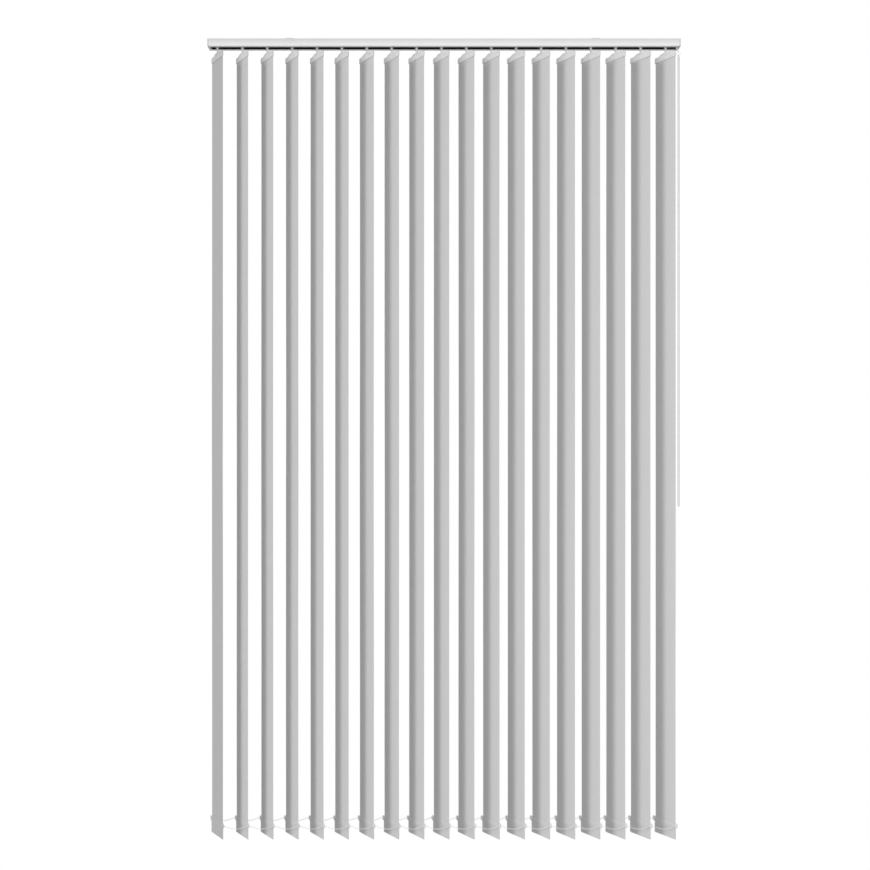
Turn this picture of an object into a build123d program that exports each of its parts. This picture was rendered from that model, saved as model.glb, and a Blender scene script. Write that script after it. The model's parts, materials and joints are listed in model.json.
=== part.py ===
from build123d import *
import math
import os

# Vertical blind, ceiling fixed, wand operated. Millimetres.
# X runs along the rail, the room is on the -Y side and +Z is up.
# Z = 0 is the ceiling. X = 0 is midway between the two ceiling brackets, Y = 0 is the rail's centre line.

# ---------------------------------------------------------------- headrail
RAIL_LENGTH = 1500.0  # profile and both end caps
RAIL_DEPTH = 44.0
RAIL_HEIGHT = 23.7
RAIL_WALL = 1.3
RAIL_CORNER = 1.2
LIP_THICKNESS = 1.5
SLOT_WIDTH = 22.0
CEILING_GAP = 5.0  # from the ceiling to the top of the rail
TEE_OPENING = 26.0  # T slot on top, which the brackets hook into
TEE_WIDTH = 32.0
TEE_LIP = 1.2
TEE_DEPTH = 3.4

# ---------------------------------------------------------------- end caps
CAP_FLANGE = 4.7
CAP_PLUG = 2.9
CAP_PLUG_WALL = 1.2
CAP_CLEARANCE = 0.15

# ---------------------------------------------------------------- brackets
BRACKET_INSET_LEFT = 261.0  # from the rail's end to the bracket's middle
BRACKET_INSET_RIGHT = 269.0
BRACKET_WIDTH = 25.0
BRACKET_THICKNESS = 1.5
BRACKET_HOOK = 2.2  # how far each foot reaches under the T slot's lip
BRACKET_CLEARANCE = 0.2
SCREW_HOLE_RADIUS = 2.5

# ---------------------------------------------------------------- louvres
VANE_COUNT = 19
VANE_PITCH = 79.3
FIRST_VANE_INSET = 28.4  # from the rail's left end to the first stem
VANE_ANGLE = 57.3  # degrees from the rail to the louvre, near edge to the right
VANE_WIDTH = 89.0
VANE_THICKNESS = 0.6
HANGER_TOP_DROP = 19.5  # from the rail's underside to the top of a hanger's ends
VANE_DROP = 2489.3  # from there to the louvre's bottom edge

# ---------------------------------------------------------------- hanger on a louvre's top edge
HANGER_HEIGHT = 17.0
HANGER_THICKNESS = 2.6
HANGER_FAR_OVERHANG = 3.0
HANGER_NEAR_OVERHANG = 1.0
HANGER_SLOT_DEPTH = 12.0
HANGER_SLOT_CLEARANCE = 0.15
CROWN_RISE = 6.0
CROWN_HALF_WIDTH = 12.0
SHOULDER_INSET = 8.5  # from the louvre's edge to the foot of the crown
CORNER_RUN = 5.0  # the room-side end's upper corner is cut back, to pass under the spindle
CORNER_DROP = 4.0
WEB_THICKNESS = 1.0
WEB_DEPTH = 7.0
PEG_RADIUS = 1.3
PEG_CLEARANCE = 0.3

# ---------------------------------------------------------------- pocket and weight at the bottom
POCKET_HEIGHT = 48.0
POCKET_WALL = 0.5
POCKET_CLEARANCE = 0.15  # each side of the weight
POCKET_SEAM = 1.5  # the welded band that closes the pocket at its top
WEIGHT_THICKNESS = 1.3
WEIGHT_HEIGHT = 44.0
WEIGHT_FAR_OVERHANG = 4.0
WEIGHT_LIFT = 0.7  # from the louvre's bottom edge to the weight
EAR_RADIUS = 8.0
EAR_HEIGHT = 44.0  # from the louvre's bottom edge to the middle of an ear
EAR_NEAR_OUT = 10.0  # from the louvre's edge to an ear's tip
EAR_FAR_OUT = 14.0
EAR_HOLE_RADIUS = 2.6
EAR_HOLE_INSET = 4.5  # from an ear's tip to the middle of its hole
EAR_SLIT = 1.2

# ---------------------------------------------------------------- bead chains
CHAIN_DIAMETER = 3.0
CHAIN_SAG = 9.5
CHAIN_END_TAIL = 1.6

# ---------------------------------------------------------------- tilt rod, worms and stems
ROD_RADIUS = 2.4
ROD_ROOT_RADIUS = 1.7
ROD_LOBES = 5
ROD_BEARING_CLEARANCE = 0.1
ROD_Y = 8.5
ROD_DROP = 12.5  # from the rail's top to the rod's axis
ROD_END_COVER = 2.0  # material left between the rod's end and the outside
WORM_LENGTH = 10.4
WORM_RADIUS = 3.9
WORM_ROOT_RADIUS = 3.3
WORM_GROOVES = 4
WORM_BORE_CLEARANCE = 0.2
WHEEL_GEAR_RADIUS = 4.3
WHEEL_GEAR_ROOT = 3.6
WHEEL_GEAR_TEETH = 16
WHEEL_GEAR_HEIGHT = 7.0
STEM_RADIUS = 2.5
STEM_CLEARANCE = 0.1
STEM_BLADE_WIDTH = 7.6
STEM_BLADE_TOP_DROP = 2.6  # from the rail's underside to the top of the flat blade

# ---------------------------------------------------------------- carriers
CARRIER_LENGTH = 15.0
CARRIER_WIDTH = 31.0
CARRIER_TOP_GAP = 1.5  # under the T slot's floor
CARRIER_FLOOR_GAP = 1.0  # over the lips
COLLAR_RADIUS = 4.0
COLLAR_BELOW_RAIL = 1.8
GEAR_POCKET_CLEARANCE = 0.3
WHEEL_RADIUS = 3.3
WHEEL_WIDTH = 3.0
WHEEL_GAP = 0.1
WHEEL_SIDE_GAP = 0.4
WHEEL_SPACING = 7.4
AXLE_RADIUS = 1.0
AXLE_CLEARANCE = 0.05

# ---------------------------------------------------------------- spacer links
LINK_WIDTH = 6.4
LINK_THICKNESS = 0.5
LINK_LEVELS = 6
LINK_LEVEL_PITCH = 0.8
LINK_Y = -9.6
LINK_TAIL = 4.0
LINK_NOSE = 8.5
LINK_CLEARANCE = 0.3

# ---------------------------------------------------------------- lead carrier and its drive
LEAD_REACH = 38.6  # from the last stem's axis to the lead carrier's right end
WAND_REACH = 33.2  # from the last stem's axis to the wand's axis
WAND_Y = -39.0
WAND_EYE_DROP = 25.3  # from the rail's underside to the middle of the spindle's eye
SPINDLE_RADIUS = 2.0
SPINDLE_CLEARANCE = 0.1
EYE_RADIUS = 1.6  # to the middle of the eye's wire
EYE_WIRE_RADIUS = 0.45
EYE_NECK_RADIUS = 0.6
EYE_NECK_LENGTH = 4.0
EYE_TAPER_LENGTH = 8.0
RING_RADIUS = 5.5  # to the middle of the ring's wire
RING_WIRE_RADIUS = 0.45
RING_PLAY = 0.85  # under the ring's top at rest, so that ring and eye stay clear as both turn
LUG_RADIUS = 3.4
LUG_THICKNESS = 2.4
LUG_HOLE_RADIUS = 1.9
LUG_CLEARANCE = 0.3
LUG_FOOT = 0.6  # from the lug's hole to the top of the barrel
BEVEL_INNER_RADIUS = 3.2
BEVEL_OUTER_RADIUS = 4.9
BEVEL_GAP = 0.35
BEVEL_TEETH = 12
BEVEL_TOOTH_DEPTH = 0.5
BEVEL_TOOTH_GAP = 0.9
BEVEL_RIM = 1.0
GEAR_WELL_MARGIN = 0.4  # more room around the gears in the lead carrier, for the lid's legs
GEAR_TUNNEL_END = 0.85  # past the slanted gear's rim
COVER_THICKNESS = 0.9
COVER_LAP = 1.0
COVER_BACK_LAP = 0.2
COVER_LEG = 1.1
COVER_LEG_INSET = 0.5
COVER_LEG_DEPTH = 1.2

# ---------------------------------------------------------------- wand
WAND_RADIUS = 3.3
WAND_CAP_RADIUS = 3.5
WAND_CAP_LENGTH = 18.0
WAND_CAP_EDGE = 1.0
WAND_CAP_ROOF = 3.0
WAND_SOCKET_WALL = 0.7
WAND_BOTTOM_DROP = 1487.0  # from the ceiling to the wand's lower end
WAND_TIP_LENGTH = 22.0
WAND_TIP_ROUND = 0.75  # of the wand's radius

# ---------------------------------------------------------------- places worked out from the sizes above
BRACKET_SPACING = RAIL_LENGTH - BRACKET_INSET_LEFT - BRACKET_INSET_RIGHT
RAIL_LEFT = -BRACKET_SPACING / 2 - BRACKET_INSET_LEFT
RAIL_RIGHT = RAIL_LEFT + RAIL_LENGTH
RAIL_TOP = -CEILING_GAP
RAIL_BOTTOM = RAIL_TOP - RAIL_HEIGHT
LIP_TOP = RAIL_BOTTOM + LIP_THICKNESS
CAVITY_TOP = RAIL_TOP - TEE_DEPTH - RAIL_WALL
CAVITY_HALF = RAIL_DEPTH / 2 - RAIL_WALL
ROD_Z = RAIL_TOP - ROD_DROP
FIRST_VANE_X = RAIL_LEFT + FIRST_VANE_INSET
LAST_VANE_X = FIRST_VANE_X + (VANE_COUNT - 1) * VANE_PITCH
HANGER_TOP = RAIL_BOTTOM - HANGER_TOP_DROP
HANGER_BOTTOM = HANGER_TOP - HANGER_HEIGHT
CROWN_TOP = HANGER_TOP + CROWN_RISE
LOUVRE_TOP = HANGER_BOTTOM + HANGER_SLOT_DEPTH
LOUVRE_BOTTOM = HANGER_TOP - VANE_DROP
POCKET_TOP = LOUVRE_BOTTOM + POCKET_HEIGHT
POCKET_THICKNESS = WEIGHT_THICKNESS + 2 * (POCKET_CLEARANCE + POCKET_WALL)
EAR_Z = LOUVRE_BOTTOM + EAR_HEIGHT
EAR_NEAR_REACH = VANE_WIDTH / 2 + EAR_NEAR_OUT  # from the stem's axis to an ear's tip
EAR_FAR_REACH = VANE_WIDTH / 2 + EAR_FAR_OUT
CARRIER_TOP = CAVITY_TOP - CARRIER_TOP_GAP
CARRIER_FLOOR = LIP_TOP + CARRIER_FLOOR_GAP
WHEEL_Z = LIP_TOP + WHEEL_GAP + WHEEL_RADIUS
GEAR_BOTTOM = ROD_Z - WHEEL_GEAR_HEIGHT / 2
WAND_X = LAST_VANE_X + WAND_REACH
EYE_Z = RAIL_BOTTOM - WAND_EYE_DROP
SPINDLE_LENGTH = math.hypot(WAND_Y - ROD_Y, EYE_Z - ROD_Z)
SPINDLE_ANGLE = math.degrees(math.atan2(ROD_Z - EYE_Z, ROD_Y - WAND_Y))  # below the horizontal
RING_TOP_Z = EYE_Z - EYE_RADIUS + EYE_WIRE_RADIUS + RING_PLAY + RING_WIRE_RADIUS
RING_Z = RING_TOP_Z - RING_RADIUS
LUG_Z = RING_Z - RING_RADIUS - (LUG_HOLE_RADIUS - RING_WIRE_RADIUS - LUG_CLEARANCE)
WAND_TOP_Z = LUG_Z - LUG_HOLE_RADIUS - LUG_FOOT
WAND_ROD_TOP = WAND_TOP_Z - WAND_CAP_ROOF
WAND_SOCKET_RADIUS = WAND_CAP_RADIUS - WAND_SOCKET_WALL

os.makedirs("parts", exist_ok=True)


def save(name, *solids):
    """One node: its separate solids go side by side in one file."""
    part = solids[0] if len(solids) == 1 else Compound(children=list(solids))
    export_step(part, f"parts/{name}.step")


def block(x0, x1, y0, y1, z0, z1):
    """A box given by its two ends along each axis."""
    centre = ((x0 + x1) / 2, (y0 + y1) / 2, (z0 + z1) / 2)
    return Pos(*centre) * Box(x1 - x0, y1 - y0, z1 - z0)


def rod_x(radius, x0, x1, y, z):
    """A round bar along X."""
    return Pos((x0 + x1) / 2, y, z) * Rot(0, 90, 0) * Cylinder(radius, x1 - x0)


def rod_y(radius, y0, y1, x, z):
    """A round bar along Y."""
    return Pos(x, (y0 + y1) / 2, z) * Rot(90, 0, 0) * Cylinder(radius, y1 - y0)


def rod_z(radius, z0, z1, x=0.0, y=0.0):
    """A round bar along Z."""
    return Pos(x, y, (z0 + z1) / 2) * Cylinder(radius, z1 - z0)


def toothed_disc(outer, root, teeth, height):
    """A disc with straight teeth about Z, from z = 0 up."""
    points = []
    for tooth in range(teeth):
        for part, radius in ((-0.32, root), (-0.16, outer), (0.16, outer), (0.32, root)):
            turn = (tooth + part) * 2 * math.pi / teeth
            points.append((radius * math.cos(turn), radius * math.sin(turn)))
    outline = Polyline(*points, close=True)
    return extrude(make_face(outline), height)


# ---------------------------------------------------------------- headrail, caps and brackets
def headrail():
    """The extruded profile between the caps: T slot on top, open slot underneath."""
    half = RAIL_DEPTH / 2
    slot = SLOT_WIDTH / 2
    tee_wall = TEE_WIDTH / 2 + RAIL_WALL
    right_side = [
        (TEE_WIDTH / 2, -TEE_DEPTH),
        (TEE_WIDTH / 2, -TEE_LIP),
        (TEE_OPENING / 2, -TEE_LIP),
        (TEE_OPENING / 2, 0.0),
        (half, 0.0),
        (half, -RAIL_HEIGHT),
        (slot, -RAIL_HEIGHT),
        (slot, -RAIL_HEIGHT + LIP_THICKNESS),
        (CAVITY_HALF, -RAIL_HEIGHT + LIP_THICKNESS),
        (CAVITY_HALF, -RAIL_WALL),
        (tee_wall, -RAIL_WALL),
        (tee_wall, -TEE_DEPTH - RAIL_WALL),
    ]
    left_side = [(-y, z) for y, z in reversed(right_side)]
    section = make_face(Polyline(*right_side, *left_side, close=True))
    length = RAIL_LENGTH - 2 * CAP_FLANGE
    profile = extrude(Plane.YZ * section, length)
    outer = [
        edge
        for edge in profile.edges().filter_by(Axis.X)
        if abs(abs(edge.center().Y) - half) < 0.01
    ]
    profile = fillet(outer, RAIL_CORNER)
    return Pos(RAIL_LEFT + CAP_FLANGE, 0, RAIL_TOP) * profile


def end_cap(side):
    """A flange with the rod's bearing, a hollow plug in the profile, and a tongue in its slot. side is -1 or 1."""
    end = RAIL_LEFT if side < 0 else RAIL_RIGHT
    face = end - side * CAP_FLANGE
    inner = face - side * CAP_PLUG
    half = RAIL_DEPTH / 2
    flange = block(*sorted((end, face)), -half, half, RAIL_BOTTOM, RAIL_TOP)
    flange = fillet(flange.edges().filter_by(Axis.X), RAIL_CORNER)
    outer_edges = [edge for edge in flange.edges() if abs(edge.center().X - end) < 0.01]
    flange = fillet(outer_edges, RAIL_CORNER * 0.6)
    reach = sorted((face, inner))
    plug_half = CAVITY_HALF - CAP_CLEARANCE
    plug_top = CAVITY_TOP - CAP_CLEARANCE
    hollow_half = plug_half - CAP_PLUG_WALL
    plug = block(*reach, -plug_half, plug_half, LIP_TOP + CAP_CLEARANCE, plug_top)
    plug -= block(*reach, -hollow_half, hollow_half, LIP_TOP - 1, plug_top - CAP_PLUG_WALL)
    tongue_half = SLOT_WIDTH / 2 - CAP_CLEARANCE
    tongue = block(*reach, -tongue_half, tongue_half, RAIL_BOTTOM, LIP_TOP + CARRIER_FLOOR_GAP / 2)
    bore_end = end - side * ROD_END_COVER
    bearing = rod_x(ROD_RADIUS + ROD_BEARING_CLEARANCE, *sorted((bore_end, face)), ROD_Y, ROD_Z)
    return flange + plug + tongue - bearing


def bracket(x):
    """A bent steel strip: ceiling plate, two legs, and two feet under the T slot's lips."""
    leg_out = TEE_OPENING / 2 - BRACKET_CLEARANCE
    leg_in = leg_out - BRACKET_THICKNESS
    foot_out = leg_out + BRACKET_HOOK
    foot_top = RAIL_TOP - TEE_LIP - BRACKET_CLEARANCE
    foot_bottom = foot_top - BRACKET_THICKNESS
    right_side = [
        (leg_in, -BRACKET_THICKNESS),
        (leg_in, foot_bottom),
        (foot_out, foot_bottom),
        (foot_out, foot_top),
        (leg_out, foot_top),
        (leg_out, 0.0),
    ]
    left_side = [(-y, z) for y, z in reversed(right_side)]
    strip = extrude(Plane.YZ * make_face(Polyline(*right_side, *left_side, close=True)), BRACKET_WIDTH)
    strip = Pos(x - BRACKET_WIDTH / 2, 0, 0) * strip
    return strip - rod_z(SCREW_HOLE_RADIUS, -2 * BRACKET_THICKNESS, BRACKET_THICKNESS, x)


def tilt_rod():
    """The splined rod along the rail, carried in both caps."""
    points = []
    for lobe in range(ROD_LOBES):
        for part, radius in ((-0.18, ROD_RADIUS), (0.18, ROD_RADIUS), (0.36, ROD_ROOT_RADIUS), (0.64, ROD_ROOT_RADIUS)):
            turn = (lobe + part) * 2 * math.pi / ROD_LOBES
            points.append((radius * math.cos(turn), radius * math.sin(turn)))
    start = RAIL_LEFT + ROD_END_COVER + CAP_CLEARANCE
    end = RAIL_RIGHT - ROD_END_COVER - CAP_CLEARANCE
    section = make_face(Polyline(*points, close=True))
    return Pos(start, ROD_Y, ROD_Z) * extrude(Plane.YZ * section, end - start)


# ---------------------------------------------------------------- carriers
def worm(x):
    """The worm that rides on the rod inside a carrier."""
    body = rod_x(WORM_RADIUS, x - WORM_LENGTH / 2, x + WORM_LENGTH / 2, ROD_Y, ROD_Z)
    pitch = WORM_LENGTH / (WORM_GROOVES + 1)
    for groove in range(WORM_GROOVES):
        middle = x - WORM_LENGTH / 2 + (groove + 1) * pitch
        ring = rod_x(WORM_RADIUS + 1, middle - pitch / 4, middle + pitch / 4, ROD_Y, ROD_Z)
        core = rod_x(WORM_ROOT_RADIUS, middle - pitch / 4, middle + pitch / 4, ROD_Y, ROD_Z)
        body -= ring - core
    bore = rod_x(ROD_RADIUS + WORM_BORE_CLEARANCE, x - WORM_LENGTH, x + WORM_LENGTH, ROD_Y, ROD_Z)
    return body - bore


def wheels(places):
    """Plain wheels on both sides of a carrier, at the given X places."""
    inner = CARRIER_WIDTH / 2 + WHEEL_SIDE_GAP
    outer = inner + WHEEL_WIDTH
    found = []
    for x in places:
        for side in (-1, 1):
            reach = sorted((side * inner, side * outer))
            tyre = rod_y(WHEEL_RADIUS, *reach, x, WHEEL_Z)
            tyre = fillet(tyre.edges().filter_by(GeomType.CIRCLE), 0.4)
            found.append(tyre - rod_y(AXLE_RADIUS + AXLE_CLEARANCE, *reach, x, WHEEL_Z))
    return found


def link_slot_height():
    return LINK_LEVELS * LINK_LEVEL_PITCH + LINK_CLEARANCE


def truck(x, x0, x1, wheel_places):
    """A moulded carrier body with its collar, axles, gear and worm pockets, and the slot for the links."""
    half = CARRIER_WIDTH / 2
    body = block(x0, x1, -half, half, CARRIER_FLOOR, CARRIER_TOP)
    body = fillet(body.edges().filter_by(Axis.Z), 1.0)
    body += rod_z(COLLAR_RADIUS, RAIL_BOTTOM - COLLAR_BELOW_RAIL, CARRIER_FLOOR + 1, x)
    axle = half + WHEEL_SIDE_GAP + WHEEL_WIDTH
    for place in wheel_places:
        body += rod_y(AXLE_RADIUS, -axle, axle, place, WHEEL_Z)
    pocket = WHEEL_GEAR_RADIUS + GEAR_POCKET_CLEARANCE
    floor = GEAR_BOTTOM - STEM_CLEARANCE
    body -= rod_z(pocket, floor, CARRIER_TOP + 1, x)
    body -= rod_z(STEM_RADIUS + STEM_CLEARANCE, RAIL_BOTTOM - 5, floor + 1, x)
    worm_half = WORM_LENGTH / 2 + STEM_CLEARANCE
    worm_pocket = WORM_RADIUS + GEAR_POCKET_CLEARANCE
    body -= rod_x(worm_pocket, x - worm_half, x + worm_half, ROD_Y, ROD_Z)
    body -= block(x - worm_half, x + worm_half, ROD_Y - worm_pocket, ROD_Y + worm_pocket, ROD_Z, CARRIER_TOP + 1)
    body -= rod_x(ROD_RADIUS + WORM_BORE_CLEARANCE * 2, x0 - 1, x1 + 1, ROD_Y, ROD_Z)
    slot_half = LINK_WIDTH / 2 + LINK_CLEARANCE
    height = link_slot_height()
    body -= block(
        x0 - 1, x1 + 1, LINK_Y - slot_half, LINK_Y + slot_half, ROD_Z - height / 2, ROD_Z + height / 2
    )
    return body


def spacer_link(x, number):
    """The strip that a carrier drags its right-hand neighbour by. Six levels let them nest when stacked."""
    level = number % LINK_LEVELS
    middle = ROD_Z + (level - (LINK_LEVELS - 1) / 2) * LINK_LEVEL_PITCH
    strip = block(
        x - LINK_TAIL,
        x + VANE_PITCH + LINK_NOSE,
        LINK_Y - LINK_WIDTH / 2,
        LINK_Y + LINK_WIDTH / 2,
        middle - LINK_THICKNESS / 2,
        middle + LINK_THICKNESS / 2,
    )
    return fillet(strip.edges().filter_by(Axis.Z), 1.5)


def carrier(x, number):
    """One carrier: truck, wheels, worm and the link to the next carrier."""
    half = CARRIER_LENGTH / 2
    places = (x - WHEEL_SPACING / 2, x + WHEEL_SPACING / 2)
    body = truck(x, x - half, x + half, places)
    return [body, *wheels(places), worm(x), spacer_link(x, number)]


# ---------------------------------------------------------------- lead carrier, spindle and ring
def along_spindle(shape, distance):
    """Put a shape made about +Z so that its Z runs down the spindle, distance from the rod's axis."""
    lean = math.radians(SPINDLE_ANGLE)
    y = ROD_Y - distance * math.cos(lean)
    z = ROD_Z - distance * math.sin(lean)
    return Pos(WAND_X, y, z) * Rot(90 + SPINDLE_ANGLE, 0, 0) * shape


def bevel_gear(bore):
    """A small straight bevel gear about +Z, its apex at z = 0 and its wide end towards +Z."""
    near = BEVEL_INNER_RADIUS + BEVEL_GAP
    far = BEVEL_OUTER_RADIUS + BEVEL_GAP
    height = BEVEL_OUTER_RADIUS - BEVEL_INNER_RADIUS
    gear = Pos(0, 0, near + height / 2) * Cone(BEVEL_INNER_RADIUS, BEVEL_OUTER_RADIUS, height)
    gear += rod_z(BEVEL_OUTER_RADIUS, far, far + BEVEL_RIM)
    for tooth in range(BEVEL_TEETH):
        cut = Pos(BEVEL_OUTER_RADIUS, 0, far) * Box(BEVEL_TOOTH_DEPTH * 2, BEVEL_TOOTH_GAP, height * 4)
        gear -= Rot(0, 0, tooth * 360 / BEVEL_TEETH) * cut
    if bore:
        gear -= rod_z(bore, near - 1, far + BEVEL_RIM + 1)
    return gear


def rod_gear():
    """The bevel gear that the tilt rod carries inside the lead carrier."""
    gear = bevel_gear(ROD_RADIUS + WORM_BORE_CLEARANCE)
    return Pos(WAND_X, ROD_Y, ROD_Z) * Rot(0, -90, 0) * gear


def spindle():
    """The slanted spindle: bevel gear, shaft, and a thin neck with the eye that the wand's ring hangs in."""
    gear_end = BEVEL_OUTER_RADIUS + BEVEL_GAP
    eye_start = SPINDLE_LENGTH - EYE_RADIUS
    neck_start = eye_start - EYE_NECK_LENGTH
    taper_start = neck_start - EYE_TAPER_LENGTH
    shape = bevel_gear(0) + rod_z(SPINDLE_RADIUS, gear_end, taper_start)
    taper = Cone(SPINDLE_RADIUS, EYE_NECK_RADIUS, EYE_TAPER_LENGTH)
    shape += Pos(0, 0, taper_start + EYE_TAPER_LENGTH / 2) * taper
    shape += rod_z(EYE_NECK_RADIUS, neck_start, eye_start)
    shape += Pos(0, 0, SPINDLE_LENGTH) * Rot(0, 90, 0) * Torus(EYE_RADIUS, EYE_WIRE_RADIUS)
    return along_spindle(shape, 0)


def gear_box_ends():
    """The X ends of the lead carrier's gear pocket."""
    left = WAND_X - BEVEL_OUTER_RADIUS - BEVEL_GAP - BEVEL_RIM - GEAR_POCKET_CLEARANCE
    return left, LAST_VANE_X + LEAD_REACH


def gear_well_half():
    """Half the width of the well that the two bevel gears stand in."""
    return BEVEL_OUTER_RADIUS + GEAR_POCKET_CLEARANCE + GEAR_WELL_MARGIN


def lead_carrier():
    """The longer carrier that is pushed and pulled with the wand."""
    x0 = LAST_VANE_X - CARRIER_LENGTH / 2
    left, x1 = gear_box_ends()
    places = (LAST_VANE_X - WHEEL_SPACING / 2, x1 - CARRIER_LENGTH / 2)
    body = truck(LAST_VANE_X, x0, x1, places)
    half = gear_well_half()
    body -= block(left, x1 + 1, ROD_Y - half, ROD_Y + half, ROD_Z - half, CARRIER_TOP + 1)
    gear_end = BEVEL_OUTER_RADIUS + BEVEL_GAP + BEVEL_RIM
    tunnel = rod_z(BEVEL_OUTER_RADIUS + GEAR_POCKET_CLEARANCE, BEVEL_GAP, gear_end + GEAR_TUNNEL_END)
    body -= along_spindle(tunnel, 0)
    body -= along_spindle(rod_z(SPINDLE_RADIUS + SPINDLE_CLEARANCE, 0, SPINDLE_LENGTH), 0)
    return [body, *wheels(places), worm(LAST_VANE_X)]


def lead_cover():
    """The lid over the lead carrier's gears, with a leg down into the well at each side."""
    left, x1 = gear_box_ends()
    x1 -= CAP_PLUG
    half = gear_well_half()
    lid = block(
        left,
        x1,
        ROD_Y - half - COVER_LAP,
        ROD_Y + half + COVER_BACK_LAP,
        CARRIER_TOP,
        CARRIER_TOP + COVER_THICKNESS,
    )
    for edge in (ROD_Y - half, ROD_Y + half - COVER_LEG):
        lid += block(
            left + COVER_LEG_INSET,
            x1 - COVER_LEG_INSET,
            edge,
            edge + COVER_LEG,
            CARRIER_TOP - COVER_LEG_DEPTH,
            CARRIER_TOP,
        )
    return lid


def wand_ring():
    """The wire ring between the spindle's eye and the wand's lug."""
    return Pos(WAND_X, WAND_Y, RING_Z) * Rot(90, 0, 0) * Torus(RING_RADIUS, RING_WIRE_RADIUS)


def wand_top():
    """The moulded top of the wand: a lug for the ring and a socket for the rod."""
    half = LUG_THICKNESS / 2
    lug = rod_x(LUG_RADIUS, WAND_X - half, WAND_X + half, WAND_Y, LUG_Z)
    hole = rod_x(LUG_HOLE_RADIUS, WAND_X - LUG_THICKNESS, WAND_X + LUG_THICKNESS, WAND_Y, LUG_Z)
    bottom = WAND_TOP_Z - WAND_CAP_LENGTH
    barrel = rod_z(WAND_CAP_RADIUS, bottom, WAND_TOP_Z, WAND_X, WAND_Y)
    upper = [edge for edge in barrel.edges().filter_by(GeomType.CIRCLE) if edge.center().Z > bottom + 1]
    barrel = fillet(upper, WAND_CAP_EDGE)
    barrel -= rod_z(WAND_SOCKET_RADIUS, bottom - 1, WAND_ROD_TOP, WAND_X, WAND_Y)
    return barrel + lug - hole


def wand_rod():
    """The long plain rod, turned down where it sits in the top's socket and in the tip."""
    neck = WAND_TOP_Z - WAND_CAP_LENGTH
    tip_top = -WAND_BOTTOM_DROP + WAND_TIP_LENGTH
    rod = rod_z(WAND_RADIUS, tip_top, neck, WAND_X, WAND_Y)
    rod += rod_z(WAND_SOCKET_RADIUS, neck, WAND_ROD_TOP, WAND_X, WAND_Y)
    rod += rod_z(WAND_SOCKET_RADIUS, tip_top - WAND_TIP_LENGTH / 2, tip_top, WAND_X, WAND_Y)
    return rod


def wand_tip():
    """The rounded end cap of the wand."""
    bottom = -WAND_BOTTOM_DROP
    tip = rod_z(WAND_RADIUS, bottom, bottom + WAND_TIP_LENGTH, WAND_X, WAND_Y)
    lower = [edge for edge in tip.edges().filter_by(GeomType.CIRCLE) if edge.center().Z < bottom + 1]
    tip = fillet(lower, WAND_RADIUS * WAND_TIP_ROUND)
    seat = bottom + WAND_TIP_LENGTH / 2
    return tip - rod_z(WAND_SOCKET_RADIUS, seat, bottom + WAND_TIP_LENGTH + 1, WAND_X, WAND_Y)


# ---------------------------------------------------------------- one louvre, about its stem, near edge towards +X
def stem():
    """Worm wheel, round shaft, flat blade and the two prongs that carry the hanger."""
    gear = toothed_disc(WHEEL_GEAR_RADIUS, WHEEL_GEAR_ROOT, WHEEL_GEAR_TEETH, WHEEL_GEAR_HEIGHT)
    body = Pos(0, 0, GEAR_BOTTOM) * gear
    blade_top = RAIL_BOTTOM - STEM_BLADE_TOP_DROP
    body += rod_z(STEM_RADIUS, blade_top - 1.5, GEAR_BOTTOM + 0.5)
    half = STEM_BLADE_WIDTH / 2
    thick = HANGER_THICKNESS / 2
    blade = block(-half, half, -thick, thick, CROWN_TOP - WEB_DEPTH + PEG_CLEARANCE, blade_top)
    gap = WEB_THICKNESS / 2 + HANGER_SLOT_CLEARANCE / 2
    blade -= block(-half - 1, half + 1, -gap, gap, CROWN_TOP - WEB_DEPTH - 1, CROWN_TOP + HANGER_SLOT_CLEARANCE)
    blade += rod_y(PEG_RADIUS, -thick, thick, 0, CROWN_TOP - WEB_DEPTH / 2)
    return body + blade


def hanger():
    """The clip along the louvre's top edge, thinned at its crown where the stem straddles it."""
    far = -VANE_WIDTH / 2 - HANGER_FAR_OVERHANG
    near = VANE_WIDTH / 2 + HANGER_NEAR_OVERHANG
    shoulder = VANE_WIDTH / 2 - SHOULDER_INSET
    outline = [
        (far, HANGER_BOTTOM),
        (near, HANGER_BOTTOM),
        (near, HANGER_TOP - CORNER_DROP),
        (near - CORNER_RUN, HANGER_TOP),
        (shoulder, HANGER_TOP),
        (CROWN_HALF_WIDTH, CROWN_TOP),
        (-CROWN_HALF_WIDTH, CROWN_TOP),
        (-shoulder, HANGER_TOP),
        (far, HANGER_TOP),
    ]
    plate = extrude(Plane.XZ * make_face(Polyline(*outline, close=True)), HANGER_THICKNESS / 2, both=True)
    slot = VANE_THICKNESS / 2 + HANGER_SLOT_CLEARANCE
    plate -= block(far - 1, near + 1, -slot, slot, HANGER_BOTTOM - 1, LOUVRE_TOP)
    half = STEM_BLADE_WIDTH / 2 + HANGER_SLOT_CLEARANCE
    web = WEB_THICKNESS / 2
    for side in (-1, 1):
        faces = sorted((side * web, side * HANGER_THICKNESS))
        plate -= block(-half, half, *faces, CROWN_TOP - WEB_DEPTH, CROWN_TOP + 1)
    return plate - rod_y(PEG_RADIUS + PEG_CLEARANCE, -HANGER_THICKNESS, HANGER_THICKNESS, 0, CROWN_TOP - WEB_DEPTH / 2)


def louvre():
    """The fabric strip with the pocket folded at its bottom."""
    half = VANE_WIDTH / 2
    strip = block(-half, half, -VANE_THICKNESS / 2, VANE_THICKNESS / 2, POCKET_TOP - 0.5, LOUVRE_TOP)
    thick = POCKET_THICKNESS / 2
    strip += block(-half, half, -thick, thick, LOUVRE_BOTTOM, POCKET_TOP)
    inside = thick - POCKET_WALL
    return strip - block(-half - 1, half + 1, -inside, inside, LOUVRE_BOTTOM + POCKET_WALL, POCKET_TOP - POCKET_SEAM)


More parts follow.
